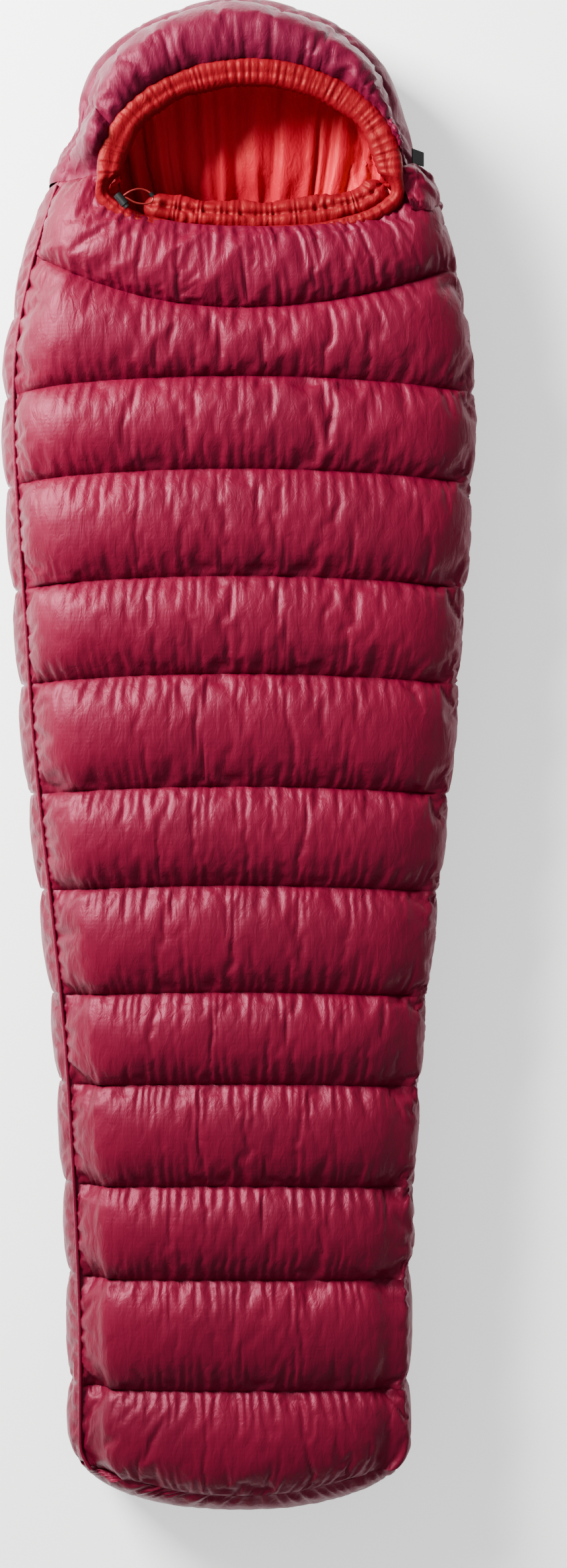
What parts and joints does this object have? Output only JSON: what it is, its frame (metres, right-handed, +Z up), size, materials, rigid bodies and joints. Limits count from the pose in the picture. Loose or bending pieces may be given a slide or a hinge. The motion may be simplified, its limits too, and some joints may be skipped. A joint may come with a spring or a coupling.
{
  "type": "mummy sleeping bag",
  "caption": "Down mummy sleeping bag, zipped shut and lying on its back: quilted cross chambers, shaped hood with face opening, drawcord and draft collar, two-way side zip.",
  "frame": {"origin": "on the floor, under the middle of the bag", "axes": "+Y from the foot to the hood, +X to the wearer's left, the zip side, +Z up out of the face opening"},
  "size_m": [0.6726, 2.15, 0.2036],
  "materials": {
    "shell_nylon": "burgundy ripstop nylon, calendered satin",
    "hood_nylon": "plum ripstop nylon, calendered satin",
    "lining_nylon": "red taffeta lining",
    "baffle_mesh": "fine white netting",
    "goose_down": "loose white down",
    "woven_tape": "woven polyester tape",
    "nylon_coil": "extruded nylon monofilament",
    "red_cord": "braided polyester cord",
    "elastic_cord": "braided shock cord",
    "moulded_acetal": "injection-moulded black",
    "spring_steel": "drawn wire",
    "black_hook_tape": "woven hook-and-loop tape",
    "enamelled_zinc": "die-cast, dark enamel"
  },
  "bodies": {
    "bag": {"anti_snag_strip": "woven_tape", "back_chamber_01": "shell_nylon", "back_chamber_02": "shell_nylon", "back_chamber_03": "shell_nylon", "back_chamber_04": "shell_nylon", "back_chamber_05": "shell_nylon", "back_chamber_06": "shell_nylon", "back_chamber_07": "shell_nylon", "back_chamber_08": "shell_nylon", "back_chamber_09": "shell_nylon", "back_chamber_10": "shell_nylon", "back_chamber_11": "shell_nylon", "back_chamber_12": "shell_nylon", "back_down_fill": "goose_down", "baffle_walls": "baffle_mesh", "body_liner": "lining_nylon", "collar_cord": "elastic_cord", "cord_end": "moulded_acetal", "cord_lock_barrel": "moulded_acetal", "cord_lock_spring": "spring_steel", "draft_collar": "lining_nylon", "draft_tube": "lining_nylon", "drawcord_loop": "red_cord", "foot_end_panel": "shell_nylon", "front_chamber_01": "shell_nylon", "front_chamber_02": "shell_nylon", "front_chamber_03": "shell_nylon", "front_chamber_04": "shell_nylon", "front_chamber_05": "shell_nylon", "front_chamber_06": "shell_nylon", "front_chamber_07": "shell_nylon", "front_chamber_08": "shell_nylon", "front_chamber_09": "shell_nylon", "front_chamber_10": "shell_nylon", "front_chamber_11": "shell_nylon", "front_chamber_12": "shell_nylon", "front_down_fill": "goose_down", "hood_back_chamber": "hood_nylon", "hood_cheeks": "hood_nylon", "hood_crown_chamber": "hood_nylon", "hood_down_fill": "goose_down", "hood_drawcord": "elastic_cord", "hood_hem": "lining_nylon", "hood_liner": "lining_nylon", "left_side_chambers": "shell_nylon", "loop_patch": "black_hook_tape", "neck_back_chamber": "shell_nylon", "right_side_chambers": "shell_nylon", "side_seam_binding": "woven_tape", "yoke_chamber": "shell_nylon", "zip_coils": "nylon_coil", "zip_end_stops": "enamelled_zinc", "zip_garage_flap": "shell_nylon", "zip_tapes": "woven_tape"},
    "upper_slider": {"upper_slider_body": "enamelled_zinc"},
    "upper_pull": {"upper_slider_pull": "enamelled_zinc"},
    "lower_slider": {"lower_slider_body": "enamelled_zinc"},
    "lower_pull": {"lower_slider_pull": "enamelled_zinc"},
    "lock_button": {"cord_lock_plunger": "moulded_acetal"},
    "peel_tab": {"hook_tab": "black_hook_tape"}
  },
  "joints": [
    {"name": "upper_slider_travel", "type": "slide", "parent": "bag", "child": "upper_slider", "axis": [0.0191, 0.9998, 0], "range_m": [-0.98, 0]},
    {"name": "upper_pull_swing", "type": "hinge", "parent": "upper_slider", "child": "upper_pull", "pos_m": [0.27551, 0.75489, 0.095], "axis": [0, 0, 1], "range_deg": [0, 165]},
    {"name": "lower_slider_travel", "type": "slide", "parent": "bag", "child": "lower_slider", "axis": [0.0191, 0.9998, 0], "range_m": [0, 0.38]},
    {"name": "lower_pull_swing", "type": "hinge", "parent": "lower_slider", "child": "lower_pull", "pos_m": [0.24789, -0.68811, 0.095], "axis": [0, 0, 1], "range_deg": [0, 165]},
    {"name": "cord_lock_press", "type": "slide", "parent": "bag", "child": "lock_button", "axis": [-0.6293, 0.7771, 0], "range_m": [0, 0.004], "stiffness_N_per_m": 600, "springref_m": -0.003, "deforming": ["cord_lock_spring"]},
    {"name": "hook_tab_peel", "type": "hinge", "parent": "bag", "child": "peel_tab", "pos_m": [0.2452, 0.841, 0.15859], "axis": [0, -1, 0], "range_deg": [0, 140]}
  ]
}
